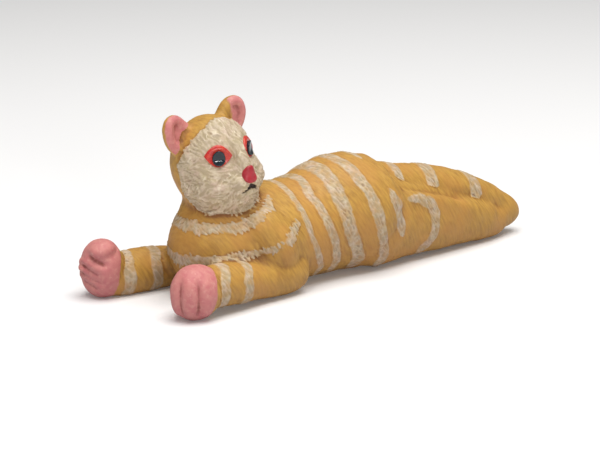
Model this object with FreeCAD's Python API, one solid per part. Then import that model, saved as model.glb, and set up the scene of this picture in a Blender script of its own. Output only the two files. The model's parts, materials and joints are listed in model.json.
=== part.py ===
import FreeCAD, Part
import math
import os

# A ceramic cat lying on its belly, in millimetres. The tail points to +X and the forepaws to -X,
# so the cat's left side is -Y, and its turned head looks mostly towards -Y. Z is up from the
# surface it lies on, and the origin is the centre of the outer box's base.
# Every piece is its own solid. Where two pieces meet, the softer one is pressed onto the other
# and takes its shape, so they touch face to face.

os.makedirs("parts", exist_ok=True)

# Driving dimensions
TAIL_TIP_X = 50.0
RIGHT_PAW_FRONT_X = -50.0
LEFT_PAW_FRONT_X = -44.6
BACK_HEIGHT = 22.3
BODY_WIDTH = 22.6
HEAD_WIDTH = 16.6
HEAD_HEIGHT = 18.4
HEAD_TURN_DEG = 4.0
HEAD_ROLL_DEG = 7.0
EAR_TIP_SPREAD = 17.6
ELBOW_SPREAD = 8.0
WRIST_SPREAD = 11.0
FORELEG_RADIUS = 3.7
LEFT_WRIST_Z = 5.2
RIGHT_WRIST_Z = 3.6
PAW_LENGTH = 9.2
PAW_WIDTH = 8.2
PAW_HEIGHT = 9.8
EYE_LENGTH = 5.0
EYE_HEIGHT = 4.1

HEAD_CENTRE = FreeCAD.Vector(-26.8, 0.4, 24.7)
ROUND_END_STEPS = (30.0, 56.0, 75.0, 86.0)
OVAL_POINTS = 12
RING_COUNT = 14
END_RING_DEG = 6.0
RAY_COUNT = 24
RAY_STEP = 0.4
GROOVE_HALF_WIDTH = 0.4
FLOOR_BOX = 200.0


def vector(x, y, z):
    return FreeCAD.Vector(x, y, z)


def ellipsoid(centre, radii):
    """A ball of the given centre, stretched to three radii along X, Y and Z."""
    stretch = FreeCAD.Matrix()
    stretch.scale(vector(*radii))
    ball = Part.makeSphere(1.0).transformGeometry(stretch)
    ball.translate(vector(*centre))
    return ball


def tilted(shape, centre, axis, degrees):
    turned = shape.copy()
    turned.rotate(vector(*centre), vector(*axis), degrees)
    return turned


def ring_wire(points):
    """A closed smooth curve through evenly numbered points."""
    steps = [index / len(points) for index in range(len(points) + 1)]
    curve = Part.BSplineCurve()
    curve.interpolate(Points=points, PeriodicFlag=True, Parameters=steps)
    return Part.Wire([curve.toShape()])


def oval_wire(centre, forward, side_radius, up_radius):
    """An ellipse across the forward direction, with one radius level and the other upright."""
    side = vector(0, 0, 1).cross(forward).normalize() * side_radius
    up = forward.cross(side).normalize() * up_radius
    angles = [math.tau * index / OVAL_POINTS for index in range(OVAL_POINTS)]
    return ring_wire([centre + side * math.cos(angle) + up * math.sin(angle) for angle in angles])


def roll(stations):
    """A roll of clay through stations of x, y, z, half width and half height, with round ends."""
    points = [vector(*station[:3]) for station in stations]
    widths = [station[3] for station in stations]
    heights = [station[4] for station in stations]
    last = len(points) - 1
    rings = []
    for index in range(last + 1):
        before = points[max(index - 1, 0)]
        after = points[min(index + 1, last)]
        forward = (after - before).normalize()
        rings.append((points[index], forward, widths[index], heights[index]))
    first_cap = end_rings(rings[0], -1.0)
    last_cap = end_rings(rings[-1], 1.0)
    all_rings = list(reversed(first_cap)) + rings + last_cap
    wires = [oval_wire(*ring) for ring in all_rings]
    return Part.makeLoft(wires, True, False)


def end_rings(ring, direction):
    """Shrinking rings that round off the end of a roll like half a ball."""
    centre, forward, width, height = ring
    reach = min(width, height)
    rings = []
    for angle in ROUND_END_STEPS:
        turn = math.radians(angle)
        place = centre + forward * (direction * reach * math.sin(turn))
        rings.append((place, forward, width * math.cos(turn), height * math.cos(turn)))
    return rings


def ball_distance(point, centre, radii):
    """About how far a point lies outside a ball stretched to three radii."""
    offset = [(value - middle) / radius for value, middle, radius in zip(point, centre, radii)]
    scaled = math.hypot(*offset)
    slope = math.hypot(*(part / radius for part, radius in zip(offset, radii)))
    return scaled * (scaled - 1.0) / max(slope, 1e-6)


def soft_distance(point, balls, blend):
    """Distance to balls of clay that run into each other with a fillet of about the blend."""
    total = sum(math.exp(-ball_distance(point, *ball) / blend) for ball in balls)
    return -blend * math.log(max(total, 1e-12))


def reach(balls, blend, start, direction):
    """How far the clay goes from a point inside it, along a direction."""
    near = 0.0
    while soft_distance(start + direction * (near + RAY_STEP), balls, blend) < 0:
        near += RAY_STEP
    far = near + RAY_STEP
    for _ in range(16):
        middle = (near + far) / 2
        if soft_distance(start + direction * middle, balls, blend) < 0:
            near = middle
        else:
            far = middle
    return near


def smooth_form(balls, blend, start, end):
    """One solid around soft balls: a skin through rings across the line from start to end."""
    first, last = vector(*start), vector(*end)
    forward = (last - first).normalize()
    side = vector(0, 0, 1).cross(forward).normalize()
    up = forward.cross(side)
    first = first - forward * reach(balls, blend, first, forward * -1)
    last = last + forward * reach(balls, blend, last, forward)
    turns = [END_RING_DEG] + [180.0 * ring / RING_COUNT for ring in range(1, RING_COUNT)]
    turns.append(180.0 - END_RING_DEG)
    wires = []
    for turn in turns:
        along = (1 - math.cos(math.radians(turn))) / 2
        centre = first + (last - first) * along
        points = []
        for ray in range(RAY_COUNT):
            angle = math.tau * ray / RAY_COUNT
            direction = side * math.cos(angle) + up * math.sin(angle)
            points.append(centre + direction * reach(balls, blend, centre, direction))
        wires.append(ring_wire(points))
    return Part.makeLoft(wires, True, False)


def above_floor(shape):
    """The part of a shape above the surface it lies on, with a flat base."""
    floor = Part.makeBox(FLOOR_BOX, FLOOR_BOX, FLOOR_BOX)
    floor.translate(vector(-FLOOR_BOX / 2, -FLOOR_BOX / 2, -FLOOR_BOX))
    return shape.cut(floor)


def torso():
    half = BODY_WIDTH / 2
    top = BACK_HEIGHT / 2
    return roll((
        (-26.5, 0, 9.0, 0.84 * half, 9.1),
        (-21.0, 0, 9.6, 0.98 * half, 9.7),
        (-13.0, 0, 9.6, 0.94 * half, 9.7),
        (-6.0, 0, 10.0, 0.88 * half, 10.1),
        (1.5, 0, top, 0.95 * half, top + 0.1),
        (6.5, 0, top - 0.5, 0.96 * half, top - 0.4),
        (9.5, 0, top - 1.7, 0.84 * half, top - 1.6),
    ))


def on_head(shape):
    """Moves a shape from the head's own axes (face to -Y, left ear to +X) to its place."""
    placed = tilted(shape, (0, 0, 0), (0, 1, 0), -HEAD_ROLL_DEG)
    placed = tilted(placed, (0, 0, 0), (0, 0, 1), HEAD_TURN_DEG)
    placed.translate(HEAD_CENTRE)
    return placed


def head_ball():
    wide = HEAD_WIDTH / 2
    tall = HEAD_HEIGHT / 2
    skull = ((0, 0.3, 0.1), (0.95 * wide, 0.98 * wide, 0.96 * tall))
    jaw = ((0, -1.4, -4.0), (0.84 * wide, 0.84 * wide, 0.6 * tall))
    muzzle = ((0, -7.2, -2.6), (3.3, 3.5, 2.7))
    bridge = ((0, -6.9, 1.0), (1.6, 2.7, 2.6))
    chin = ((0, -6.8, -5.2), (1.9, 2.2, 1.9))
    return smooth_form((skull, jaw, muzzle, bridge, chin), 0.5, (-4, 0, -0.6), (4, 0, -0.6))


def ear(side):
    """A rounded triangle, hollowed towards the face. Side is 1 for the left ear, -1 for the right."""
    spread = EAR_TIP_SPREAD / 2
    x, y, z = side * (spread - 2.2), 2.2, 6.7
    outer = ellipsoid((x, y, z), (3.0, 1.7, 4.1))
    hollow = ellipsoid((x + side * 0.2, y - 1.6, z + 0.2), (2.1, 1.4, 3.1))
    leaning = tilted(outer.cut(hollow), (x, y, z), (0, 1, 0), side * 24.0)
    return tilted(leaning, (x, y, z), (0, 0, 1), side * -14.0)


def eye_place(side):
    return side * 4.0, -6.3, 3.0


def eye(side):
    """A raised almond, level in the middle and turned with the curve of the cheek."""
    x, y, z = eye_place(side)
    almond = ellipsoid((x, y, z), (EYE_LENGTH / 2, 1.1, EYE_HEIGHT / 2))
    turned = tilted(almond, (x, y, z), (0, 0, 1), side * 31.0)
    return tilted(turned, (x, y, z), (0, 1, 0), side * -8.0)


def pupil(side):
    x, y, z = eye_place(side)
    forward = y - 0.6
    drop = ellipsoid((x + side * 0.4, forward, z), (1.15, 0.7, 1.25))
    return tilted(drop, (x + side * 0.4, forward, z), (0, 0, 1), side * 31.0)


def nose():
    return ellipsoid((0, -10.4, -0.6), (1.4, 0.9, 1.25))


def foreleg(side, paw_front_x, wrist_z):
    """Upper arm pressed on the chest, an elbow on the floor, and a forearm out to the wrist."""
    radius = FORELEG_RADIUS
    spread = WRIST_SPREAD - ELBOW_SPREAD
    rise = wrist_z - radius
    wrist_x = paw_front_x + PAW_LENGTH
    upper_arm = roll((
        (-21.8, side * 7.2, 12.6, 4.3, 4.6),
        (-19.4, side * 8.5, 8.8, 4.2, 4.6),
        (-17.6, side * (ELBOW_SPREAD + 0.3), 5.2, 3.0, 3.2),
    ))
    forearm = roll((
        (-16.2, side * ELBOW_SPREAD, radius + 0.3, radius + 0.1, radius + 0.2),
        (-22.0, side * (ELBOW_SPREAD + 0.3 * spread), radius + 0.2 * rise, radius, radius),
        (-29.0, side * (ELBOW_SPREAD + 0.7 * spread), radius + 0.6 * rise, 0.97 * radius, radius),
        (wrist_x - 2.5, side * WRIST_SPREAD, wrist_z, 0.95 * radius, 0.97 * radius),
    ))
    return upper_arm.fuse([forearm])


def paw(side, front_x, height, edge_tilt, grooves):
    """A blunt paw, its toes parted by thin grooves down the front.

    Each groove is how far it lies from the paw's middle. The edge tilt turns the grooves from
    upright, as on a paw that lies flat, to level, as on a paw that lies on its edge.
    """
    y = side * (WRIST_SPREAD + 0.3)
    middle = height / 2
    half_length, half_width = PAW_LENGTH / 2, PAW_WIDTH / 2
    body = roll((
        (front_x + 0.88 * half_length, y, middle, half_width, middle),
        (front_x + 1.12 * half_length, y, middle, half_width, middle),
    ))
    cutters = []
    for offset in grooves:
        place = (front_x + 0.5, y + offset * math.cos(edge_tilt), middle + offset * math.sin(edge_tilt))
        blade = ellipsoid(place, (2.2, GROOVE_HALF_WIDTH, 0.62 * height))
        cutters.append(tilted(blade, place, (1, 0, 0), math.degrees(edge_tilt)))
    return body.cut(cutters)


def left_forepaw():
    """Rests flat: two upright grooves part three toes."""
    return paw(-1, LEFT_PAW_FRONT_X, PAW_HEIGHT, 0.0, (-1.5, 1.7))


def right_forepaw():
    """Turned on its edge like a fist: level grooves part a thumb lobe and three stacked toes."""
    return paw(1, RIGHT_PAW_FRONT_X, 1.1 * PAW_HEIGHT, math.radians(90), (-2.6, -0.3, 2.2))


def hind_leg(side):
    """A haunch pressed on the hip, drawn out straight behind to a narrow foot."""
    return roll((
        (6.0, side * 4.4, 8.5, 5.2, 7.9),
        (14.0, side * 3.8, 8.0, 4.8, 7.4),
        (22.0, side * 3.1, 7.0, 4.5, 6.5),
        (30.0, side * 2.6, 5.8, 4.0, 5.4),
        (37.0, side * 2.0, 4.6, 3.3, 4.3),
        (42.5, side * 1.5, 3.7, 2.5, 3.5),
    ))


def tail():
    """A roll laid along the groove between the hind legs, from the rump to the tip."""
    tip_radius = 2.0
    return roll((
        (9.0, 0, 17.0, 3.4, 3.2),
        (16.0, 0, 15.2, 3.7, 3.2),
        (23.0, 0, 13.6, 3.8, 3.4),
        (31.0, 0, 11.5, 3.9, 3.7),
        (38.0, 0, 9.0, 3.7, 3.7),
        (44.0, 0, 6.4, 3.0, 3.1),
        (TAIL_TIP_X - tip_radius, 0, 4.5, tip_radius, tip_radius + 0.1),
    ))


def trimmed(shape, neighbours):
    """A piece pressed onto its neighbours: it gives way where they are."""
    return above_floor(shape).cut(neighbours)


def largest_solid(shape):
    """The main body of a cut, without any loose crumb that the cut left."""
    return max(shape.Solids, key=lambda solid: solid.Volume)


def mirrored(shape):
    """The same piece on the other side of the body."""
    return shape.mirror(vector(0, 0, 0), vector(0, 1, 0))


def left_half(shape):
    """What lies on the cat's left of the seam along the middle of the body."""
    right_side = Part.makeBox(FLOOR_BOX, FLOOR_BOX, FLOOR_BOX)
    right_side.translate(vector(-FLOOR_BOX / 2, 0, -FLOOR_BOX / 2))
    return shape.cut(right_side)


def build_parts():
    """All the pieces by name. A piece is trimmed by those before it that it touches."""
    parts = {}
    parts["nose"] = on_head(nose())
    for name, side in (("left", 1), ("right", -1)):
        drop = on_head(pupil(side))
        parts[name + "_pupil"] = drop
        parts[name + "_eye"] = on_head(eye(side)).cut([drop])
    face = list(parts.values())
    whole_head = on_head(head_ball())
    parts["head"] = whole_head.cut(face)
    for name, side in (("left", 1), ("right", -1)):
        parts[name + "_ear"] = on_head(ear(side)).cut([whole_head])
    body = trimmed(torso(), [whole_head])
    parts["torso"] = body
    parts["left_forepaw"] = above_floor(left_forepaw())
    parts["right_forepaw"] = above_floor(right_forepaw())
    forelegs = (
        ("left", -1, LEFT_PAW_FRONT_X, LEFT_WRIST_Z),
        ("right", 1, RIGHT_PAW_FRONT_X, RIGHT_WRIST_Z),
    )
    for name, side, front, wrist_z in forelegs:
        neighbours = [body, whole_head, parts[name + "_forepaw"]]
        parts[name + "_foreleg"] = trimmed(foreleg(side, front, wrist_z), neighbours)
    parts["tail"] = trimmed(tail(), [body])
    parts["left_hind_leg"] = left_half(trimmed(hind_leg(-1), [body, parts["tail"]]))
    parts["right_hind_leg"] = mirrored(parts["left_hind_leg"])
    return parts


for node, shape in build_parts().items():
    solid = largest_solid(shape)
    solid.exportStep("parts/" + node + ".step")
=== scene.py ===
import json
import math

import bmesh
import bpy
import numpy as np
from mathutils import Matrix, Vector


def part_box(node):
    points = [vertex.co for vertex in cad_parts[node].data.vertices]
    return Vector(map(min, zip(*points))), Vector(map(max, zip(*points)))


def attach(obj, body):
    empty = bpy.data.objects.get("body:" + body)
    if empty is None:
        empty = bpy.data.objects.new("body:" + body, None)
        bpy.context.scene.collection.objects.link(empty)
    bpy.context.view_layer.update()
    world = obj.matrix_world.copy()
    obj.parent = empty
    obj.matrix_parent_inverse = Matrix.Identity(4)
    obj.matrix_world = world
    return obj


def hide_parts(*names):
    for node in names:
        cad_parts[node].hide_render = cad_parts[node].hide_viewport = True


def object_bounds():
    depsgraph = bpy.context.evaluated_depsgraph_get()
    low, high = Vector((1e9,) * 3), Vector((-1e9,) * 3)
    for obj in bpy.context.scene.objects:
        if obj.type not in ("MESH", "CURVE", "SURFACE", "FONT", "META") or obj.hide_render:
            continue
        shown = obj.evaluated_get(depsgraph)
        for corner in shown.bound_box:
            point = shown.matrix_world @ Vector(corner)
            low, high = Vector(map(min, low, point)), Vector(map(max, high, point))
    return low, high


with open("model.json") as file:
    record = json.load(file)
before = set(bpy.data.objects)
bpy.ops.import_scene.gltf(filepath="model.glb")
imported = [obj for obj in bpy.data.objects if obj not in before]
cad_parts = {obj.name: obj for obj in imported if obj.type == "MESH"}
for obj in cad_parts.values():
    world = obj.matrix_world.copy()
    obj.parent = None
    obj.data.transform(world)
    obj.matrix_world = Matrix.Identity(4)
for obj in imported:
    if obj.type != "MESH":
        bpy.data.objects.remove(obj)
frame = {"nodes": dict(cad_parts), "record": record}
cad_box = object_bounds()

import openvdb
from mathutils import Vector, kdtree, noise

# A small hand-modelled cat in painted clay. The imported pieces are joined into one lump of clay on
# a voxel grid, where it is sculpted, and then cut into the same pieces again along their seams.
# The sculpting is done in hundredths of the cat's length, which are called units here.
UNIT = (cad_box[1][0] - cad_box[0][0]) / 100
# The grid's step, the space round the cat, how far from the surface distances are kept, and the
# radius of the inner corners.
VOXEL = 0.2
MARGIN = 3.0
BAND = 3.0
FILLET = 1.1
# How far a piece's inner wall reaches in from its seam, and the depth of a hollow that gets the full
# painted shade.
WALL = 1.0
CAVITY_DEPTH = 0.1
# How much is kept of the head's left half, of the muzzle beyond a place on the head's own Y, and
# of the right forepaw's length.
LEFT_SQUEEZE = 0.88
MUZZLE_FROM = -7.5
MUZZLE_DRAW = 0.72
FIST_SHARE = 0.84
# The left ear's pink reaches this far past its middle.
EAR_PINK = 0.7
# Bearings of the left paw's grooves and toes, and rises of the right paw's toes, in degrees. Each
# crease of the right paw has a bearing and a rise where it starts, and where it ends.
TOE_GROOVES = (-34, 16, 64)
TOE_MIDDLES = (-60, -9, 40, 88)
FIST_TOES = (21, 3, -14)
FIST_CREASES = (
    ((10, 32), (64, 15)),
    ((-14, 12), (46, -7)),
    ((-30, -5), (52, -21)),
    ((-28, -21), (38, -36)),
)
CREASE_RADIUS = 0.5
# How much higher painted clay lies than bare ochre.
COAT_THICKNESS = 0.08
# Paint is measured by how far inside its edge a point is. These are far outside it, and just
# outside the mask.
FAR_OUT = -2.0
BESIDE_MASK = -0.3

CLAY_NODES = (
    "torso", "head", "left_ear", "right_ear", "left_foreleg", "right_foreleg", "left_forepaw",
    "right_forepaw", "left_hind_leg", "right_hind_leg", "tail",
)
SLOT_OF = {part["node"]: part["material_slot"] for part in frame["record"]["subparts"]}
dice = np.random.default_rng(7)


# ---------------------------------------------------------------- clay on a voxel grid

def corners_of(node):
    """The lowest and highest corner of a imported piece, in units."""
    low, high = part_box(node)
    return np.array(low) / UNIT, np.array(high) / UNIT


def middle_of(node):
    low, high = corners_of(node)
    return (low + high) / 2


lowest = np.array(cad_box[0]) / UNIT - MARGIN
highest = np.array(cad_box[1]) / UNIT + MARGIN
START = np.floor(lowest / VOXEL).astype(int)
SHAPE = np.ceil(highest / VOXEL).astype(int) - START + 1
GRID_SCALE = openvdb.createLinearTransform(voxelSize=VOXEL)


def level_set(points, **faces):
    """Distances to a closed surface on the whole grid, in units, cut off at the band's width."""
    grid = openvdb.FloatGrid.createLevelSetFromPolygons(
        points, transform=GRID_SCALE, halfWidth=BAND / VOXEL, **faces
    )
    field = np.empty(SHAPE, np.float32)
    grid.copyToArray(field, ijk=tuple(int(value) for value in START))
    return field


def surface_of(field, level=0.0):
    """The points and four-sided faces where a field has the given level."""
    grid = openvdb.FloatGrid(BAND)
    grid.copyFromArray(field, ijk=tuple(int(value) for value in START))
    grid.transform = GRID_SCALE
    points, quads = grid.convertToQuads(isovalue=level)
    return np.asarray(points, np.float32), np.asarray(quads, np.uint32)


def packed_piece(node):
    mesh = frame["nodes"][node].data
    mesh.calc_loop_triangles()
    points = np.empty(3 * len(mesh.vertices), np.float32)
    mesh.vertices.foreach_get("co", points)
    corners = np.empty(3 * len(mesh.loop_triangles), np.int32)
    mesh.loop_triangles.foreach_get("vertices", corners)
    points = points.reshape(-1, 3) / np.float32(UNIT)
    return points.astype(np.float32), corners.reshape(-1, 3).astype(np.uint32)


def softened(field, passes):
    """A field blurred a little, which rounds its edges by about a voxel for each few passes."""
    for _ in range(passes):
        for axis in range(3):
            field = np.moveaxis(field, axis, 0)
            middle = field[1:-1] * 0.5 + (field[:-2] + field[2:]) * 0.25
            field = np.concatenate([field[:1], middle, field[-1:]])
            field = np.moveaxis(field, 0, axis)
    return field


def filleted(field, radius):
    """The clay with its inner corners filled to a radius, as a wet finger leaves them."""
    points, quads = surface_of(field, radius)
    grown = level_set(points, quads=quads)
    return np.minimum(field, grown + radius)


def sample(field, points):
    """Values of a field at points, between its voxels."""
    place = points / VOXEL - START
    base = np.clip(np.floor(place).astype(int), 0, SHAPE - 2)
    part = np.clip(place - base, 0, 1)
    total = np.zeros(points.shape[:-1])
    for i in (0, 1):
        for j in (0, 1):
            for k in (0, 1):
                weight = (
                    np.abs(1 - i - part[..., 0])
                    * np.abs(1 - j - part[..., 1])
                    * np.abs(1 - k - part[..., 2])
                )
                total += weight * field[base[..., 0] + i, base[..., 1] + j, base[..., 2] + k]
    return total


# ---------------------------------------------------------------- sculpting

class Axes:
    """A place on the cat with its own three directions."""

    def __init__(self, origin, rows):
        self.origin = np.array(origin, float)
        self.rows = np.array(rows, float)

    def local(self, points):
        return (points - self.origin) @ self.rows.T

    def world(self, point):
        return self.origin + np.array(point, float) @ self.rows


def unit_vector(value):
    return value / np.linalg.norm(value)


def head_axes():
    """The head's own axes: +X to its left ear, -Y out through the nose, +Z up."""
    left_eye, right_eye, nose = (middle_of(node) for node in ("left_eye", "right_eye", "nose"))
    across = unit_vector(left_eye - right_eye)
    back = middle_of("head") - nose
    back = unit_vector(back - across * (back @ across))
    up = np.cross(across, back)
    between_eyes = (left_eye + right_eye) / 2
    return Axes(between_eyes + 6.3 * back - 3.0 * up, (across, back, up))


BODY = Axes((0, 0, 0), np.eye(3))
HEAD = head_axes()


def smooth_min(first, second, blend):
    mix = np.clip(0.5 + 0.5 * (second - first) / blend, 0, 1)
    return second + (first - second) * mix - blend * mix * (1 - mix)


def turned(points, degrees):
    """Points turned about X, then Y, then Z."""
    for axis, angle in enumerate(degrees):
        if angle:
            cosine, sine = math.cos(math.radians(angle)), math.sin(math.radians(angle))
            one, two = (axis + 1) % 3, (axis + 2) % 3
            moved = points.copy()
            moved[..., one] = points[..., one] * cosine - points[..., two] * sine
            moved[..., two] = points[..., one] * sine + points[..., two] * cosine
            points = moved
    return points


def lump(radii, turn=(0, 0, 0)):
    """A stretched ball about the origin, as a distance function."""
    radii = np.array(radii, float)

    def distance(points):
        offset = turned(points, [-angle for angle in turn]) / radii
        scaled = np.linalg.norm(offset, axis=-1)
        slope = np.linalg.norm(offset / radii, axis=-1)
        return scaled * (scaled - 1) / np.maximum(slope, 1e-4)

    return distance


def crease(route, radius):
    """A round groove or ridge along a route of points, as a distance function."""
    route = np.array(route, float)

    def distance(points):
        nearest = np.full(points.shape[:-1], 1e3)
        for start, end in zip(route[:-1], route[1:]):
            run = end - start
            share = np.clip(((points - start) @ run) / (run @ run), 0, 1)
            gap = np.linalg.norm(points - start - share[..., None] * run, axis=-1)
            nearest = np.minimum(nearest, gap)
        return nearest - radius

    return distance


def sculpt(field, axes, place, reach, shape, blend, hollow=False):
    """Adds a shape to the clay with a soft edge, or presses it in, at a place in some axes."""
    centre = axes.world(place)
    first = np.maximum(np.floor((centre - reach) / VOXEL).astype(int) - START, 0)
    last = np.minimum(np.ceil((centre + reach) / VOXEL).astype(int) - START + 1, SHAPE)
    cut = tuple(slice(a, b) for a, b in zip(first, last))
    lines = [(np.arange(a, b) + s) * VOXEL for a, b, s in zip(first, last, START)]
    points = np.stack(np.meshgrid(*lines, indexing="ij"), axis=-1)
    distance = shape(axes.local(points) - np.array(place, float))
    if hollow:
        field[cut] = -smooth_min(-field[cut], distance, blend)
    else:
        field[cut] = smooth_min(field[cut], distance, blend)


def press_route(field, axes, route, radius, blend, hollow=True):
    """Draws a groove, or lays a ridge, along a route of points in some axes."""
    route = np.array(route, float)
    centre = route.mean(0)
    reach = np.abs(route - centre).max() + radius + blend + 1.0
    sculpt(field, axes, centre, reach, crease(route - centre, radius), blend, hollow)


def both_sides(route):
    """A route on the cat's left, and the same on its right."""
    return route, [(x, -y, z) for x, y, z in route]


def mouth_corner(side):
    return (0, -9.8, -2.8), (side * 0.8, -9.6, -3.05), (side * 1.6, -9.2, -3.7)


LIP_GROOVE = ((0, -10.0, -1.6), (0, -9.8, -2.8))


def sculpt_ears(field):
    """The hollow of each ear is filled a little, so that it is a soft dish."""
    for node in ("left_ear", "right_ear"):
        place = HEAD.local(middle_of(node)[None])[0]
        place = place + (-math.copysign(0.9, place[0]), -0.25, -0.9)
        sculpt(field, HEAD, place, 5.0, lump((2.2, 0.8, 2.5)), 1.4)


def sculpt_face(field):
    for side in (-1, 1):
        sculpt(field, HEAD, (side * 3.9, -7.5, 3.0), 5.0, lump((2.8, 0.6, 2.3)), 1.2, hollow=True)
        sculpt(field, HEAD, (side * 4.5, -4.3, -2.6), 5.0, lump((2.3, 2.5, 2.3)), 2.0)
        sculpt(field, HEAD, (side * 1.2, -8.6, -2.3), 4.0, lump((1.4, 1.3, 1.2)), 0.9)
        press_route(field, HEAD, mouth_corner(side), 0.28, 0.4)
    press_route(field, HEAD, LIP_GROOVE, 0.25, 0.4)
    press_route(field, HEAD, ((0, -6.6, 4.4), (0, -7.8, 2.4), (0, -8.8, 0.6)), 0.5, 1.6, hollow=False)


def on_paw(centre, reach, bearing, rise, out=1.0):
    """A point on a rounded paw, by its bearing from the front and its rise, in degrees."""
    bearing, rise = math.radians(bearing), math.radians(rise)
    level = math.cos(rise)
    outward = np.array([-math.cos(bearing) * level, -math.sin(bearing) * level, math.sin(rise)])
    return centre + outward * reach * out


def press_crease(field, centre, reach, start, end):
    """A groove on a paw from one bearing and rise to another. It fades out at both ends."""
    route = []
    for share in np.linspace(0, 1, 7):
        bearing, rise = np.array(start) * (1 - share) + np.array(end) * share
        route.append(on_paw(centre, reach, bearing, rise, 1 + 0.14 * (2 * share - 1) ** 4))
    press_route(field, BODY, route, CREASE_RADIUS, 0.8)


def sculpt_left_paw(field):
    """Grooves down the front of the blunt paw part four toes."""
    low, high = corners_of("left_forepaw")
    centre = (low + high) / 2
    reach = (high - low) / 2
    for bearing in TOE_GROOVES:
        press_crease(field, centre, reach, (bearing, 32), (bearing, -40))
    for bearing in TOE_MIDDLES:
        place = on_paw(centre, reach, bearing, 0, 0.72) - (0, 0, 0.4)
        sculpt(field, BODY, place, 3.5, lump((1.3, 1.3, 3.2)), 0.6)


def sculpt_right_paw(field):
    """Turned on its edge: a thumb lobe on top, and toes stacked below it like a fist's."""
    low, high = corners_of("right_forepaw")
    low = np.array([high[0] - FIST_SHARE * (high[0] - low[0]), low[1], low[2]])
    centre = (low + high) / 2
    reach = (high - low) / 2
    for rise in FIST_TOES:
        toe = on_paw(centre, reach, -16, rise, 0.74)
        sculpt(field, BODY, toe, 4.0, lump((1.5, 1.9, 0.95)), 0.3)
    thumb = (low[0] + 3.1, centre[1] - 1.2, high[2] - 1.7)
    sculpt(field, BODY, thumb, 4.5, lump((2.6, 2.3, 1.7), (0, -14, 0)), 0.4)
    for start, end in FIST_CREASES:
        press_crease(field, centre, reach, start, end)


def sculpt_rump(field):
    """The edge of the rump, the drop behind it, the tail and its tip, and the grooves beside it."""
    edge = [(8.4, 0, 20.0), (8.4, -4.0, 19.2), (8.0, -7.2, 17.4), (8.2, -8.7, 15.4), (9.6, -9.0, 13.4)]
    drop = [(12.6, -3.4, 18.8), (12.2, -5.6, 17.4), (13.2, -6.8, 15.8)]
    filling = [
        (11.0, -5.6, 13.9), (15.0, -5.2, 13.4), (21.9, -4.5, 11.5), (29.5, -3.9, 8.9), (38.0, -3.0, 5.4),
    ]
    groove = [
        (14.0, -6.6, 15.6), (18.0, -5.9, 14.4), (24.0, -5.4, 12.8), (29.0, -5.1, 11.2), (34.0, -5.2, 10.6),
    ]
    back = [(17.0, 0, 15.5), (22.0, 0, 15.1), (29.0, 0, 13.3), (35.0, 0, 10.6)]
    under_tip = [(36.5, -2.6, 3.2), (41.0, -1.8, 3.4), (45.5, -0.6, 4.6)]
    press_route(field, BODY, back, 2.3, 2.0, hollow=False)
    for route in both_sides(edge):
        press_route(field, BODY, route, 0.9, 1.4, hollow=False)
    for route in both_sides(filling):
        press_route(field, BODY, route, 1.9, 2.2, hollow=False)
    for route in both_sides(drop):
        press_route(field, BODY, route, 0.5, 2.0)
    for route in both_sides(groove):
        press_route(field, BODY, route, 0.55, 1.8)
    tip = (corners_of("tail")[1][0] - 4.5, 0, 4.5)
    sculpt(field, BODY, tip, 6.5, lump((4.2, 3.0, 3.3), (0, 14, 0)), 1.6)
    for route in both_sides(under_tip):
        press_route(field, BODY, route, 1.9, 1.8, hollow=False)


def sculpt_neck(field):
    """The nape runs down into the right shoulder without a notch."""
    sculpt(field, BODY, (-28.8, 3.3, 15.5), 6.5, lump((3.0, 3.0, 3.4)), 2.0)


def squeezed_head(points):
    """The head a little narrower on its left, with its muzzle drawn in."""
    place = HEAD.local(points)
    place[:, 0] *= np.where(place[:, 0] > 0, LEFT_SQUEEZE, 1.0)
    beyond = np.minimum(place[:, 1] - MUZZLE_FROM, 0)
    place[:, 1] -= (1 - MUZZLE_DRAW) * beyond
    return HEAD.world(place)


def shortened_paw(points):
    """The right forepaw drawn back at its front, to the length of its toes."""
    back = corners_of("right_forepaw")[1][0]
    return (points - (back, 0, 0)) * (FIST_SHARE, 1, 1) + (back, 0, 0)


def join_clay():
    """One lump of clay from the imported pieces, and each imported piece's own distances."""
    fields = {}
    for node in CLAY_NODES:
        points, triangles = packed_piece(node)
        if node == "head":
            points = squeezed_head(points)
        if node == "right_forepaw":
            points = shortened_paw(points)
        fields[node] = level_set(points.astype(np.float32), triangles=triangles)
    lump_of_all = np.minimum.reduce(list(fields.values()))
    return softened(filleted(lump_of_all, FILLET), 3), fields


# ---------------------------------------------------------------- cutting into pieces

def spread(values, quads, count, passes):
    """Values at the points, each averaged with its neighbours a few times."""
    flat = quads.ravel()
    share = np.bincount(flat, minlength=count)
    for _ in range(passes):
        faces = values[quads].mean(1)
        sums = [np.bincount(flat, np.repeat(column, 4), count) for column in faces.T]
        values = np.stack(sums, axis=1) / share[:, None]
    return values


def neighbours_of(quads):
    """The pairs of faces that share an edge."""
    ends = np.stack([quads, np.roll(quads, -1, axis=1)], axis=-1).reshape(-1, 2)
    keys = np.sort(ends, axis=1).astype(np.int64)
    keys = keys[:, 0] * (keys.max() + 1) + keys[:, 1]
    faces = np.repeat(np.arange(len(quads)), 4)
    order = np.argsort(keys, kind="stable")
    same = keys[order][:-1] == keys[order][1:]
    return faces[order][:-1][same], faces[order][1:][same]


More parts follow.
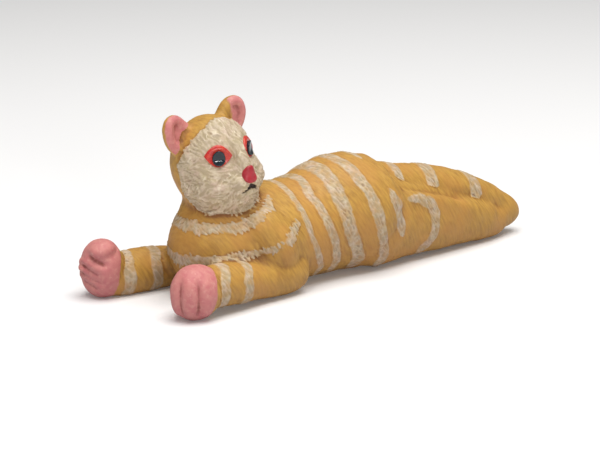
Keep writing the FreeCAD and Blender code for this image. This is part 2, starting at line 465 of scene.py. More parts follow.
def without_islands(labels, quads):
    """Labels where each piece is one patch: a loose patch joins the piece around it."""
    first, second = neighbours_of(quads)
    beside = [[] for _ in range(len(quads))]
    for one, two in zip(first.tolist(), second.tolist()):
        beside[one].append(two)
        beside[two].append(one)
    labels = labels.tolist()
    patch_of = [-1] * len(labels)
    patches = []
    for seed in range(len(labels)):
        if patch_of[seed] >= 0:
            continue
        patch_of[seed] = len(patches)
        patch = [seed]
        for face in patch:
            for other in beside[face]:
                if patch_of[other] < 0 and labels[other] == labels[face]:
                    patch_of[other] = len(patches)
                    patch.append(other)
        patches.append(patch)
    biggest = {}
    for patch in patches:
        label = labels[patch[0]]
        biggest[label] = max(biggest.get(label, []), patch, key=len)
    for patch in sorted(patches, key=len):
        if patch is not biggest[labels[patch[0]]]:
            around = [labels[o] for face in patch for o in beside[face] if labels[o] != labels[face]]
            new = max(set(around), key=around.count)
            for face in patch:
                labels[face] = new
    return np.array(labels)


def face_labels(points, quads, fields):
    """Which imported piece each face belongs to: the nearest one."""
    distances = np.stack([sample(fields[node], points) for node in CLAY_NODES], axis=1)
    distances = spread(distances, quads, len(points), 4)
    labels = distances[quads].mean(1).argmin(1)
    return without_islands(labels, quads), distances.argmin(1)


def plain_mesh(name, points, faces):
    mesh = bpy.data.meshes.new(name)
    mesh.vertices.add(len(points))
    mesh.vertices.foreach_set("co", (points * UNIT).astype(np.float32).ravel())
    mesh.loops.add(faces.size)
    mesh.loops.foreach_set("vertex_index", faces.astype(np.int32).ravel())
    mesh.polygons.add(len(faces))
    starts = np.arange(len(faces), dtype=np.int32) * faces.shape[1]
    mesh.polygons.foreach_set("loop_start", starts)
    mesh.update(calc_edges=True)
    mesh.validate()
    return mesh


def normals_of(mesh):
    normals = np.empty(3 * len(mesh.vertices), np.float32)
    mesh.vertex_normals.foreach_get("vector", normals)
    return normals.reshape(-1, 3)


def closed_piece(node, points, quads, normals, paint):
    """One piece of the clay: its outer faces, a wall inward along each seam, and a cap on that."""
    used, faces = np.unique(quads, return_inverse=True)
    faces = faces.reshape(quads.shape)
    mesh = plain_mesh(node, points[used], faces)
    shell = bmesh.new()
    shell.from_mesh(mesh)
    seams = [edge for edge in shell.edges if edge.is_boundary]
    walls = bmesh.ops.extrude_edge_only(shell, edges=seams)["geom"]
    shell.verts.index_update()
    for corner in walls:
        if isinstance(corner, bmesh.types.BMVert):
            others = [edge.other_vert(corner) for edge in corner.link_edges]
            beside = next(other for other in others if other.index < len(used))
            corner.co -= Vector(normals[used[beside.index]].tolist()) * WALL * UNIT
    seams = [edge for edge in shell.edges if edge.is_boundary]
    caps = bmesh.ops.holes_fill(shell, edges=seams, sides=0)["faces"]
    bmesh.ops.poke(shell, faces=caps)
    shell.to_mesh(mesh)
    shell.free()
    mesh.polygons.foreach_set("use_smooth", np.ones(len(mesh.polygons), bool))
    extra = len(mesh.vertices) - len(used)
    outward = np.concatenate([normals[used], np.tile([[0, 0, 1]], (extra, 1))])
    mesh.normals_split_custom_set_from_vertices(outward.tolist())
    for name, values in paint.items():
        layer = mesh.attributes.new(name, "FLOAT", "POINT")
        inside = np.full(extra, FAR_OUT if name in ("white", "pink", "dark") else 0.0)
        layer.data.foreach_set("value", np.append(values[used], inside).astype(np.float32))
    return mesh


# ---------------------------------------------------------------- where the colours lie

def gap_to_route(points, route):
    """The distance from each point to a route, and how far along the route that is."""
    route = np.array(route, float)
    nearest = np.full(len(points), 1e3)
    along = np.zeros(len(points))
    for index, (start, end) in enumerate(zip(route[:-1], route[1:])):
        run = end - start
        share = np.clip(((points - start) @ run) / (run @ run), 0, 1)
        gap = np.linalg.norm(points - start - share[:, None] * run, axis=1)
        closer = gap < nearest
        nearest[closer] = gap[closer]
        along[closer] = index + share[closer]
    return nearest, along


# Each stripe round the body: where it lies along X at five turns down from the ridge, its half
# width, and the turns where it starts and ends. Both sides of the body have the same stripes.
STRIPE_TURNS = (10, 40, 60, 85, 124)
BODY_STRIPES = (
    ((-13.6, -14.0, -13.6, -12.5, -8.4), 0.75, -20, 150),
    ((-8.9, -9.9, -8.8, -7.2, -4.5), 1.05, -20, 150),
    ((-4.5, -4.3, -4.0, -2.8, 0.9), 1.5, -20, 150),
    ((0.0, 1.3, 2.6, 3.9, 6.8), 1.3, -20, 150),
    ((6.8, 6.3, 8.0, 10.1, 11.6), 1.4, 50, 106),
    ((5.0, 5.6, 6.0, 6.0, 6.0), 0.9, -20, 17),
)
# Each stripe over the tail: its middle along X, its half width, and how low it comes.
TAIL_STRIPES = ((14.9, 1.15, 16.0), (23.4, 1.6, 13.7), (35.3, 1.65, 10.0))
HIND_STRIPE = ((13.5, 13.4), (17.0, 12.7), (19.8, 11.4), (20.9, 8.9), (20.4, 5.0), (18.4, 2.2))
CHEST_LINE = (
    (-35.6, 0, 7.9), (-33.7, -5.9, 8.4), (-29.8, -8.6, 8.9), (-23.6, -11.1, 9.6),
    (-19.4, -12.0, 11.3), (-15.8, -10.2, 13.8),
)
COLLAR = (
    (-33.9, 0, 14.0), (-33.2, -3.7, 13.9), (-28.8, -7.2, 13.8), (-24.0, -8.8, 15.3),
    (-20.6, -8.0, 16.8), (-18.9, -5.4, 18.2),
)
CHEST_HALVES = (1.0, 0.9, 0.75, 0.5, 1.0, 0.5)
COLLAR_HALVES = (0.9, 0.95, 0.95, 1.0, 1.0, 0.3)
# The mask's edge: how far back on the head it comes, at heights from the chin to the crown.
MASK_HEIGHTS = (-8.2, -7.2, -5.0, 1.5, 3.4, 5.5, 7.6, 9.0)
MASK_BACKS = (-5.5, -1.6, 0.5, 0.8, -0.2, -1.1, -2.1, -1.4)


def stripes_round_body(points):
    turn = np.degrees(np.arctan2(np.abs(points[:, 1]), points[:, 2] - 9.0))
    inside = np.full(len(points), FAR_OUT)
    for stations, half, start, end in BODY_STRIPES:
        middle = np.interp(turn, STRIPE_TURNS, stations)
        taper = np.clip(np.minimum(turn - start, end - turn) / 14, -1, 1)
        side = half * np.sqrt(np.clip(taper, 0, 1)) - np.abs(points[:, 0] - middle)
        inside = np.maximum(inside, side + FAR_OUT * (taper <= 0))
    return inside


def stripes_on_tail(points):
    inside = np.full(len(points), FAR_OUT)
    for middle, half, lowest_z in TAIL_STRIPES:
        side = half - np.abs(points[:, 0] - middle)
        inside = np.maximum(inside, np.minimum(side, points[:, 2] - lowest_z + 0.5 * side))
    return inside


def foreleg_bands(points, node):
    front = corners_of(node.replace("foreleg", "forepaw"))[0][0]
    lean = np.interp(points[:, 2], (2.0, 6.0, 9.0), (0.0, -0.3, 1.5))
    first = 1.2 - np.abs(points[:, 0] - (front + 9.0 + lean))
    second = 1.2 - np.abs(points[:, 0] - (front + 14.9 + lean))
    return np.maximum(first, second)


def fringed_edges(points, owner):
    """How far inside the chest line and the collar each point is, whose edges are in short strokes."""
    mirrored = points * (1, 0, 1) - np.abs(points) * (0, 1, 0)
    body = ~np.isin(owner, [CLAY_NODES.index(n) for n in ("head", "left_ear", "right_ear", "tail")])
    inside = np.full(len(points), FAR_OUT)
    gap, along = gap_to_route(mirrored[body], CHEST_LINE)
    line = np.interp(along, range(len(CHEST_HALVES)), CHEST_HALVES) - gap
    gap, along = gap_to_route(mirrored[body], COLLAR)
    inside[body] = np.maximum(line, np.interp(along, range(len(COLLAR_HALVES)), COLLAR_HALVES) - gap)
    return inside


def white_paint(points, owner):
    """How far inside the white areas each point is, and the same for the mask alone."""
    inside = np.full(len(points), FAR_OUT)
    trunk = np.isin(owner, [CLAY_NODES.index(n) for n in ("torso", "left_hind_leg", "right_hind_leg")])
    inside[trunk] = stripes_round_body(points[trunk])
    legs = np.isin(owner, [CLAY_NODES.index(n) for n in ("left_hind_leg", "right_hind_leg")])
    gap, along = gap_to_route(points[legs][:, [0, 2]], HIND_STRIPE)
    inside[legs] = np.maximum(inside[legs], np.interp(along, (0, 1, 2, 5), (0.4, 1.0, 1.35, 1.25)) - gap)
    tail = owner == CLAY_NODES.index("tail")
    inside[tail] = stripes_on_tail(points[tail])
    for node in ("left_foreleg", "right_foreleg"):
        mine = owner == CLAY_NODES.index(node)
        inside[mine] = foreleg_bands(points[mine], node)
    inside = np.maximum(inside, fringed_edges(points, owner))
    face = owner == CLAY_NODES.index("head")
    place = HEAD.local(points[face])
    mask = np.full(len(points), FAR_OUT)
    mask[face] = np.interp(place[:, 2], MASK_HEIGHTS, MASK_BACKS) - place[:, 1]
    return np.maximum(inside, mask), mask


def pink_paint(points, normals, owner):
    inside = np.full(len(points), FAR_OUT)
    for node in ("left_forepaw", "right_forepaw"):
        front = corners_of(node)[0][0]
        leg = CLAY_NODES.index(node.replace("forepaw", "foreleg"))
        mine = (owner == CLAY_NODES.index(node)) | (owner == leg)
        edge = front + np.interp(points[mine][:, 2], (2.0, 6.0, 9.0), (6.2, 6.7, 7.7))
        inside[mine] = edge - points[mine][:, 0]
    for node in ("left_ear", "right_ear"):
        mine = owner == CLAY_NODES.index(node)
        facing = -(normals[mine] @ HEAD.rows[1])
        inside[mine] = 1.6 * facing - 0.45
        if node == "left_ear":
            across = HEAD.local(points[mine])[:, 0] - HEAD.local(middle_of(node)[None])[0, 0]
            inside[mine] = np.minimum(inside[mine], across + EAR_PINK)
    return inside


def dark_paint(points, owner):
    inside = np.full(len(points), FAR_OUT)
    face = owner == CLAY_NODES.index("head")
    place = HEAD.local(points[face])
    gap, _ = gap_to_route(place, LIP_GROOVE)
    inside[face] = 0.3 - gap
    for side in (-1, 1):
        gap, along = gap_to_route(place, mouth_corner(side))
        inside[face] = np.maximum(inside[face], np.interp(along, (0, 1, 2), (0.5, 0.42, 0.24)) - gap)
    return inside


# ---------------------------------------------------------------- brush strokes

class Brush:
    """Lays short strokes of thick paint on the surface. Each covers what lies under it."""

    def __init__(self, points, normals):
        self.points = points
        self.normals = normals
        self.height = np.zeros(len(points))
        self.tone = np.full(len(points), 0.5)
        self.tree = kdtree.KDTree(len(points))
        for index, point in enumerate(points.tolist()):
            self.tree.insert(point, index)
        self.tree.balance()

    def stroke(self, index, flow, length, width, thickness, tone, paint=None):
        centre = self.points[index]
        normal = self.normals[index]
        along = flow - normal * (flow @ normal)
        along = along / max(np.linalg.norm(along), 1e-6)
        found = self.tree.find_range(Vector(centre), length)
        near = np.fromiter((entry[1] for entry in found), int, len(found))
        offset = self.points[near] - centre
        run = (offset @ along) / length
        side = (offset @ np.cross(normal, along)) / width
        side = side + 0.25 * run * run
        cover = np.clip((1 - run * run - side * side) * 1.8, 0, 1)
        cover *= self.normals[near] @ normal > 0.3
        bristle = 0.75 + 0.25 * np.cos(side * 7)
        under = self.height[near] * (1 - 0.6 * cover)
        self.height[near] = np.maximum(under, thickness * bristle * cover)
        self.tone[near] += 0.8 * cover * (tone - self.tone[near])
        if paint is not None:
            paint[near] = np.maximum(paint[near], (cover - 0.5) * 0.8)


def laid_flat(flow, normals):
    """Directions turned into the surface."""
    flow = flow - normals * np.einsum("ij,ij->i", flow, normals)[:, None]
    return flow / np.maximum(np.linalg.norm(flow, axis=1), 1e-6)[:, None]


def fur_flow(points, normals):
    """Fur runs down the sides and a little back."""
    sides = np.copysign(1.0, points[:, 1])
    down = np.stack([0.55 + 0 * sides, 0.5 * sides, -0.85 + 0 * sides], axis=1)
    return laid_flat(down, normals)


def face_flow(points, normals):
    """Fur runs out from the nose, and strays a little either way."""
    flow = laid_flat(points - HEAD.world((0, -9.0, -1.0)), normals)
    stray = np.array([noise.noise(Vector(point) / 2.5) for point in points.tolist()]) * 1.6
    return flow * np.cos(stray)[:, None] + np.cross(normals, flow) * np.sin(stray)[:, None]


def lay_strokes(brush, chosen, count, flow, size, thickness, spread_deg, paint=None):
    """Many strokes at random places among the chosen points. Their size is a half length and a
    half width, and they turn from the flow by the given spread."""
    length, width = size
    places = dice.choice(chosen, count)
    for index in places:
        angle = math.radians(dice.normal(0, spread_deg))
        across = np.cross(brush.normals[index], flow[index])
        along = flow[index] * math.cos(angle) + across * math.sin(angle)
        brush.stroke(index, along, length * dice.uniform(0.75, 1.3), width * dice.uniform(0.8, 1.25),
                     thickness * dice.uniform(0.5, 1.2), dice.uniform(0, 1), paint)


def crests(points, flow, width, length):
    """Crests of thick paint drawn out along the flow, from 0 to 1, as a stiff brush leaves."""
    total = np.zeros(len(points))
    for share in np.linspace(-1, 1, 7):
        places = (points + flow * (length * share)) / width
        total += [noise.noise(Vector(place)) for place in places.tolist()]
    return np.clip(1 - np.abs(total) / 1.1, 0, 1)


def away_from_eyes(points):
    """0 at the eyes and nose, where the paint round them is smooth, and 1 elsewhere."""
    place = HEAD.local(points)
    calm = np.ones(len(points))
    for node, wide, high in (("left_eye", 3.0, 2.6), ("right_eye", 3.2, 2.6), ("nose", 1.9, 2.1)):
        offset = place - HEAD.local(middle_of(node)[None])
        gap = np.hypot(offset[:, 0] / wide, offset[:, 2] / high)
        calm = np.where(np.abs(offset[:, 1]) < 3, np.minimum(calm, np.clip((gap - 0.95) * 3, 0, 1)), calm)
    return calm


def roughen(points, normals, amount, scale):
    """The uneven surface that fingers leave: gentle swells of the given size."""
    swell = [noise.noise(Vector(point) / scale) for point in points.tolist()]
    return points + normals * (np.array(swell) * amount)[:, None]


# ---------------------------------------------------------------- materials

class Paint:
    """Shader nodes, by short calls."""

    def __init__(self, name):
        self.material = bpy.data.materials.new(name)
        self.material.use_nodes = True
        self.tree = self.material.node_tree
        self.shader = self.tree.nodes["Principled BSDF"]
        self.place = self.tree.nodes.new("ShaderNodeTexCoord").outputs["Object"]

    def link(self, source, socket):
        if hasattr(source, "is_output"):
            self.tree.links.new(source, socket)
        else:
            socket.default_value = source

    def attribute(self, name):
        node = self.tree.nodes.new("ShaderNodeAttribute")
        node.attribute_name = name
        return node.outputs["Fac"]

    def grain(self, scale, detail=3.0, stretch=(1, 1, 1), turn_deg=0.0, rough=0.5):
        """Noise from 0 to 1 with features of about 1/scale of a unit, stretched along one way."""
        mapping = self.tree.nodes.new("ShaderNodeMapping")
        self.link(self.place, mapping.inputs["Vector"])
        first = self.tree.nodes.new("ShaderNodeMapping")
        self.link(self.place, first.inputs["Vector"])
        first.inputs["Rotation"].default_value = (0, math.radians(turn_deg), 0)
        self.link(first.outputs["Vector"], mapping.inputs["Vector"])
        mapping.inputs["Scale"].default_value = [scale * value / UNIT for value in stretch]
        node = self.tree.nodes.new("ShaderNodeTexNoise")
        node.inputs["Scale"].default_value = 1.0
        node.inputs["Detail"].default_value = detail
        node.inputs["Roughness"].default_value = rough
        self.link(mapping.outputs["Vector"], node.inputs["Vector"])
        return node.outputs["Fac"]

    def math(self, kind, first, second=0.0, third=0.0):
        node = self.tree.nodes.new("ShaderNodeMath")
        node.operation = kind
        for value, socket in zip((first, second, third), node.inputs):
            self.link(value, socket)
        return node.outputs[0]

    def ramp(self, value, low, high):
        """0 below low, 1 above high, and smooth between."""
        node = self.tree.nodes.new("ShaderNodeMapRange")
        node.interpolation_type = "SMOOTHSTEP"
        self.link(value, node.inputs["Value"])
        node.inputs["From Min"].default_value = low
        node.inputs["From Max"].default_value = high
        return node.outputs["Result"]

    def mix(self, share, first, second, kind="MIX"):
        node = self.tree.nodes.new("ShaderNodeMix")
        node.data_type = "RGBA"
        node.blend_type = kind
        colours = [socket for socket in node.inputs if socket.type == "RGBA"]
        self.link(share, node.inputs["Factor"])
        self.link(first, colours[0])
        self.link(second, colours[1])
        return next(socket for socket in node.outputs if socket.type == "RGBA")


def srgb(red, green, blue):
    """A colour as the eye reads it, from 0 to 255, in the renderer's own terms."""
    values = [value / 255 for value in (red, green, blue)]
    return (*[v / 12.92 if v <= 0.04045 else ((v + 0.055) / 1.055) ** 2.4 for v in values], 1.0)


OCHRE_DARK = srgb(152, 106, 42)
OCHRE_LIGHT = srgb(196, 150, 62)
OCHRE_ORANGE = srgb(192, 132, 60)
OCHRE_PALE = srgb(208, 162, 80)
WHITE_WARM = srgb(184, 166, 130)
WHITE_COOL = srgb(194, 175, 152)
WHITE_ROSY = srgb(206, 176, 158)
# The next two are a painted highlight on the crests of the white paint and painted shade between the
# crests.
WHITE_CREST_HIGHLIGHT = srgb(234, 220, 194)
WHITE_VALLEY_SHADE = srgb(150, 132, 100)
PINK_DEEP = srgb(196, 112, 112)
PINK_LIGHT = srgb(208, 136, 127)
PINK_PALE = srgb(224, 168, 154)
MOUTH_DARK = srgb(58, 44, 40)
# Painted shade: the brown multiplied into hollows and creases.
HOLLOW_SHADE = srgb(150, 100, 72)
# Painted shade: the grey multiplied low on the sides.
LOW_SIDE_SHADE = srgb(190, 184, 196)


def ochre_coat(paint):
    """Streaks along the fur, with warmer clouds and paler strokes."""
    streak = paint.grain(2.2, 4.0, (1.0, 0.35, 0.16), turn_deg=30)
    cloud = paint.ramp(paint.grain(0.16, 3.0), 0.4, 0.65)
    colour = paint.mix(paint.ramp(streak, 0.15, 0.8), OCHRE_DARK, OCHRE_LIGHT)
    colour = paint.mix(paint.math("MULTIPLY", cloud, 0.55), colour, OCHRE_ORANGE)
    return paint.mix(paint.math("MULTIPLY", paint.attribute("tone"), 0.35), colour, OCHRE_PALE)


def white_coat(paint, ochre):
    """Painted bright on its crests as a highlight, painted deeper between them as shade, and thin enough
    in places to show the ochre.
    """
    thick = paint.attribute("thick")
    rosy = paint.ramp(paint.grain(0.5, 3.0), 0.45, 0.7)
    patchy = paint.ramp(paint.grain(0.8, 4.0), 0.3, 0.75)
    see_through = paint.math("MULTIPLY", paint.attribute("thin"), patchy)
    colour = paint.mix(paint.attribute("tone"), WHITE_WARM, WHITE_COOL)
    colour = paint.mix(paint.math("MULTIPLY", rosy, 0.5), colour, WHITE_ROSY)
    # Painted highlight: brighter off-white on the crests of thick paint.
    colour = paint.mix(paint.math("MULTIPLY", paint.ramp(thick, 0.3, 0.9), 0.7), colour, WHITE_CREST_HIGHLIGHT)
    # Painted shade: deeper grey-brown where the paint lies low between the crests.
    colour = paint.mix(paint.math("MULTIPLY", paint.ramp(thick, 0.25, 0.0), 0.42), colour, WHITE_VALLEY_SHADE)
    return paint.mix(paint.math("MULTIPLY", see_through, 0.55), colour, ochre)


def pink_coat(paint, speck):
    colour = paint.mix(paint.attribute("tone"), PINK_DEEP, PINK_LIGHT)
    return paint.mix(paint.math("MULTIPLY", paint.ramp(speck, 0.5, 0.8), 0.5), colour, PINK_PALE)


def brushed_bump(paint):
    """Fine bristle marks in the paint."""
    bump = paint.tree.nodes.new("ShaderNodeBump")
    bump.inputs["Strength"].default_value = 0.4
    bump.inputs["Distance"].default_value = 0.06 * UNIT
    paint.link(paint.grain(4.5, 3.0, (1.0, 0.5, 0.25), turn_deg=30), bump.inputs["Height"])
    paint.link(bump.outputs["Normal"], paint.shader.inputs["Normal"])


def painted_clay(slot):
    """Ochre with off-white, pink and dark paint over it, where the painted areas say, painted brown
    shade in the hollows, and painted grey shade low on the sides."""
    paint = Paint(slot)
    speck = paint.grain(1.5, 4.0)
    slow = paint.math("MULTIPLY_ADD", paint.grain(0.45, 2.0), 1.0, -0.5)
    ragged = paint.math("SUBTRACT", paint.grain(1.6, 4.0), 0.5)
    wobble = paint.math("MULTIPLY_ADD", ragged, 0.6, slow)
    white_edge = paint.math("ADD", paint.attribute("white"), wobble)
    pink_edge = paint.math("ADD", paint.attribute("pink"), wobble)
    dark_edge = paint.math("ADD", paint.attribute("dark"), paint.math("MULTIPLY", wobble, 0.2))
    ochre = ochre_coat(paint)
    colour = paint.mix(paint.ramp(white_edge, -0.15, 0.25), ochre, white_coat(paint, ochre))
    colour = paint.mix(paint.ramp(pink_edge, -0.15, 0.25), colour, pink_coat(paint, speck))
    colour = paint.mix(paint.ramp(dark_edge, -0.05, 0.1), colour, MOUTH_DARK)
    # Painted shade: hollows and creases darkened with brown, more the deeper they lie.
    hollow = paint.ramp(paint.attribute("hollow_shade"), 0.0, 1.0)
    colour = paint.mix(paint.math("MULTIPLY", hollow, 0.75), colour, HOLLOW_SHADE, "MULTIPLY")
    # Painted shade: grey multiplied in low on the sides, where the surface faces sideways or down.
    colour = paint.mix(paint.math("MULTIPLY", paint.attribute("low"), 0.6), colour, LOW_SIDE_SHADE, "MULTIPLY")
    paint.link(colour, paint.shader.inputs["Base Color"])
    paint.link(paint.math("MULTIPLY_ADD", speck, 0.25, 0.5), paint.shader.inputs["Roughness"])
    brushed_bump(paint)
    return paint.material


def glossy_paint(slot, first, second, roughness):
    paint = Paint(slot)
    colour = paint.mix(paint.ramp(paint.grain(1.2, 3.0), 0.35, 0.65), first, second)
    gloss = paint.math("MULTIPLY_ADD", paint.grain(3.0), 0.12, roughness)
    paint.link(colour, paint.shader.inputs["Base Color"])
    paint.link(gloss, paint.shader.inputs["Roughness"])
    return paint.material


# ---------------------------------------------------------------- making the cat

def make_cat():
    clay, fields = join_clay()
    sculpt_ears(clay)
    sculpt_face(clay)
    sculpt_left_paw(clay)
    sculpt_right_paw(clay)
    sculpt_rump(clay)
    sculpt_neck(clay)
    clay = softened(clay, 1)
    points, quads = surface_of(clay)
    quads = quads[:, ::-1] if winding_is_inward(points, quads) else quads
    whole = plain_mesh("whole", points, quads)
    normals = normals_of(whole)
    labels, owner = face_labels(points, quads, fields)
    white, mask = white_paint(points, owner)
    pink = pink_paint(points, normals, owner)
    dark = dark_paint(points, owner)
    brush = Brush(points, normals)
    fringe = fringed_edges(points, owner)
    stripes = np.flatnonzero((white > 0.1) & (mask < BESIDE_MASK) & (fringe < BESIDE_MASK))
    down = fur_flow(points, normals)
    out = face_flow(points, normals)
    lay_strokes(brush, np.flatnonzero(np.maximum(white, pink) < 0), 5000, down, (1.2, 0.28), 0.03, 14)
    lay_strokes(brush, stripes, 1500, down, (1.2, 0.45), 0.05, 25)
    lay_strokes(brush, np.flatnonzero(fringe > -0.1), 500, down, (0.7, 0.25), 0.08, 18, white)
    lay_strokes(brush, np.flatnonzero(pink > 0), 900, down, (0.9, 0.4), 0.04, 60)
    lay_strokes(brush, np.flatnonzero(mask > 0.3), 1500, out, (0.9, 0.34), 0.1, 25, white)
    on_mask = np.clip(mask * 2, 0, 1)
    calm = away_from_eyes(points)
    thick = np.where(mask > BESIDE_MASK, crests(points, out, 0.55, 0.8), crests(points, down, 0.6, 0.7))
    painted = np.clip(white * 3, 0, 1)
    rough = 0.62 + 0.38 * np.clip(crests(points, down, 4.0, 0.1) * 1.6 - 0.4, 0, 1)
    thick = thick * np.where(mask > BESIDE_MASK, rough, 0.6)
    relief = brush.height + thick * painted * (0.16 + 0.1 * on_mask)
    # Painted shade: how much grey shade to paint, more where the surface faces sideways or down and near
    # the floor.
    low = np.clip(0.55 - normals[:, 2], 0, 1) * np.clip((20 - points[:, 2]) / 10, 0, 1)
    swollen = roughen(points, normals, 0.12, 3.0)
    coat = np.clip(np.maximum(white, pink) * 4 + 0.5, 0, 1)
    height = relief * np.where(mask > BESIDE_MASK, calm, 1) + COAT_THICKNESS * coat
    shaped = swollen + normals * (height * (dark < 0))[:, None]
    shaped[:, 2] = np.maximum(shaped[:, 2], 0)
    blurred = spread(shaped, quads, len(points), 10)
    # Painted shade: how deep each point lies in a hollow, which sets the brown shade painted there. It is
    # weaker on the mask.
    hollow_shade = np.einsum("ij,ij->i", blurred - shaped, normals) / CAVITY_DEPTH
    hollow_shade = hollow_shade * np.where(mask > 0, 0.45, 1.0)
    mesh = plain_mesh("whole", shaped, quads)
    normals = normals_of(mesh)
    thin = np.where(mask > BESIDE_MASK, 0.0, 1.0)
    paint = {
        "white": white, "pink": pink, "dark": dark, "thin": thin, "thick": thick, "tone": brush.tone,
        "hollow_shade": hollow_shade, "low": low,
    }
    materials = {}
    for index, node in enumerate(CLAY_NODES):
        piece = closed_piece(node + "_clay", shaped, quads[labels == index], normals, paint)
        slot = SLOT_OF[node]
        if slot not in materials:
            materials[slot] = painted_clay(slot)
        piece.materials.append(materials[slot])
        place_piece(piece, node)
    return clay


def winding_is_inward(points, quads):
    """True if the faces' corners run the wrong way round for faces that look outward."""
    a, b, c = (points[quads[:, corner]] for corner in (0, 1, 2))
    return np.einsum("ij,ij->i", a, np.cross(b, c)).sum() < 0


def place_piece(mesh, node):
    piece = bpy.data.objects.new(mesh.name, mesh)
    bpy.context.scene.collection.objects.link(piece)
    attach(piece, "root")
    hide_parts(node)


# ---------------------------------------------------------------- eyes and nose

FINE = 0.08
FAR_EYE_SHIFT = 0.5


def raised_piece(node, clay, shape, reach, material):
    """A small piece laid on the face. Its shape is a distance function of its own axes and
    of the height above the clay."""
    centre = middle_of(node)
    if node.startswith("left"):
        centre = centre - HEAD.rows[0] * FAR_EYE_SHIFT
    steps = 0.15 * np.eye(3)
    out = unit_vector(sample(clay, centre + steps) - sample(clay, centre - steps))
    across = unit_vector(np.cross(np.array([0, 0, 1.0]), out))
    axes = Axes(centre, (across, out, np.cross(across, out)))
    start = np.floor((centre - reach) / FINE).astype(int)
    count = int(2 * reach / FINE)
    lines = [(np.arange(count) + value) * FINE for value in start]
    points = np.stack(np.meshgrid(*lines, indexing="ij"), axis=-1)
    field = shape(axes.local(points), sample(clay, points)).astype(np.float32)
    grid = openvdb.FloatGrid(1.0)
    grid.copyFromArray(field, ijk=tuple(int(value) for value in start))
    grid.transform = openvdb.createLinearTransform(voxelSize=FINE)
    points, quads = grid.convertToQuads(isovalue=0.0)
    quads = quads[:, ::-1] if winding_is_inward(points - centre, quads) else quads
    mesh = plain_mesh(node + "_paint", np.asarray(points), np.asarray(quads))
    mesh.polygons.foreach_set("use_smooth", np.ones(len(mesh.polygons), bool))
    mesh.materials.append(material)
    place_piece(mesh, node)
    return out


def almond(local, above):
    """Pointed at both corners, and a little domed."""
    u, v = (local[..., 0] + 0.1) / 2.6, (local[..., 2] + 0.2) / 1.95
    outline = (np.abs(v) - (1 - np.abs(u) ** 2.0)) * 1.2
    dome = 0.26 + 0.3 * np.clip(1 - u * u - v * v, 0, 1)
    return np.maximum.reduce([outline, above - dome, -0.5 - above])


def round_drop(local, above):
    u, v = local[..., 0] / 1.2, local[..., 2] / 1.35
    outline = (np.hypot(u, v) - 1) * 1.2
    dome = 0.7 - 0.22 * v + 0.35 * np.sqrt(np.clip(1 - u * u - v * v, 0, 1))
    return np.maximum.reduce([outline, above - dome, -0.4 - above])


def nose_pad(local, above):
    v = local[..., 2] / 1.6
    u = local[..., 0] / (1.4 * (1 + 0.12 * v))
    size = (np.abs(u) ** 2.4 + np.abs(v) ** 2.4) ** (1 / 2.4)
    outline = (size - 1) * 1.3
    dome = 0.3 + 0.5 * np.sqrt(np.clip(1 - size, 0, 1))
    return np.maximum.reduce([outline, above - dome, -0.5 - above])


def make_face_details(clay):
    orange = glossy_paint("eye_orange", srgb(206, 62, 40), srgb(186, 44, 44), 0.22)
    black = glossy_paint("pupil_gloss", srgb(24, 34, 42), srgb(30, 44, 52), 0.05)
    crimson = glossy_paint("nose_crimson", srgb(176, 40, 52), srgb(160, 32, 44), 0.35)
    for side in ("left", "right"):
        raised_piece(side + "_eye", clay, almond, 3.6, orange)
        gaze = raised_piece(side + "_pupil", clay, round_drop, 2.6, black)
    raised_piece("nose", clay, nose_pad, 3.0, crimson)
    return gaze


clay = make_cat()
right_gaze = make_face_details(clay)


# ---------------------------------------------------------------- studio

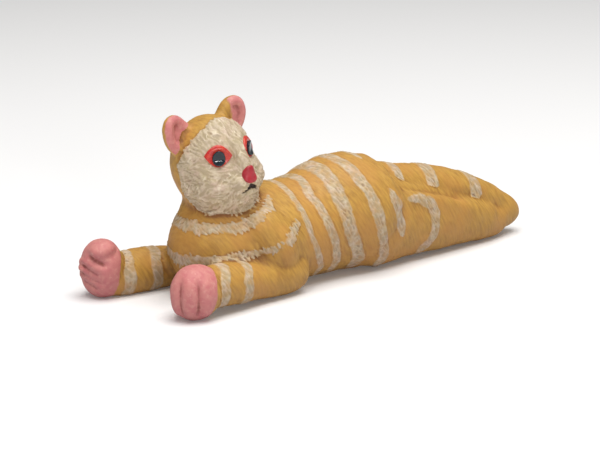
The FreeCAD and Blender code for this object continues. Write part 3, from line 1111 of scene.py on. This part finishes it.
def floor():
    mesh = bpy.data.meshes.new("floor")
    edge = 60
    corners = [(-edge, -edge, 0), (edge, -edge, 0), (edge, edge, 0), (-edge, edge, 0)]
    mesh.from_pydata(corners, [], [(0, 1, 2, 3)])
    plane = bpy.data.objects.new("floor", mesh)
    bpy.context.scene.collection.objects.link(plane)
    paint = bpy.data.materials.new("paper")
    paint.use_nodes = True
    paint.node_tree.nodes["Principled BSDF"].inputs["Base Color"].default_value = (0.86, 0.85, 0.84, 1)
    paint.node_tree.nodes["Principled BSDF"].inputs["Roughness"].default_value = 0.9
    paint.node_tree.nodes["Principled BSDF"].inputs["Emission Color"].default_value = (1, 1, 1, 1)
    paint.node_tree.nodes["Principled BSDF"].inputs["Emission Strength"].default_value = 0.06
    mesh.materials.append(paint)


def camera():
    """At the photo's angle: well ahead of the cat on its left, and a little above it."""
    azimuth, elevation = math.radians(-39), math.radians(14)
    away = Vector((
        math.sin(azimuth) * math.cos(elevation),
        -math.cos(azimuth) * math.cos(elevation),
        math.sin(elevation),
    ))
    lens = bpy.data.cameras.new("camera")
    lens.sensor_width = 36
    lens.lens = 131.6
    eye = bpy.data.objects.new("camera", lens)
    aim = Vector((-4.73, 2.85, 8.93)) * UNIT
    eye.location = aim + away * 420 * UNIT
    eye.rotation_euler = (-away).to_track_quat("-Z", "Y").to_euler()
    bpy.context.scene.collection.objects.link(eye)
    bpy.context.scene.camera = eye


def area_light(name, place, size, power):
    lamp = bpy.data.lights.new(name, "AREA")
    lamp.size = size
    lamp.energy = power
    light = bpy.data.objects.new(name, lamp)
    light.location = place
    light.rotation_euler = (-Vector(place)).to_track_quat("-Z", "Y").to_euler()
    bpy.context.scene.collection.objects.link(light)


def studio():
    world = bpy.data.worlds.new("room")
    world.use_nodes = True
    world.node_tree.nodes["Background"].inputs["Color"].default_value = (1, 1, 1, 1)
    world.node_tree.nodes["Background"].inputs["Strength"].default_value = 0.26
    bpy.context.scene.world = world
    area_light("top", (0.02, -0.1, 0.6), 0.5, 3.9)
    away = bpy.context.scene.camera.matrix_basis.to_quaternion() @ Vector((0, 0, 1))
    sideways = bpy.context.scene.camera.matrix_basis.to_quaternion() @ Vector((-1, 0, 0))
    for left, lift, power in ((0.07, 0.0, 0.3), (0.3, 0.4, 0.25)):
        half_way = (Vector(right_gaze) + sideways * left + Vector((0, 0, lift))).normalized()
        glint = 2 * away.dot(half_way) * half_way - away
        area_light("glint", glint * 0.45, 0.05, power)


floor()
camera()
studio()
bpy.context.scene.view_settings.view_transform = "Standard"
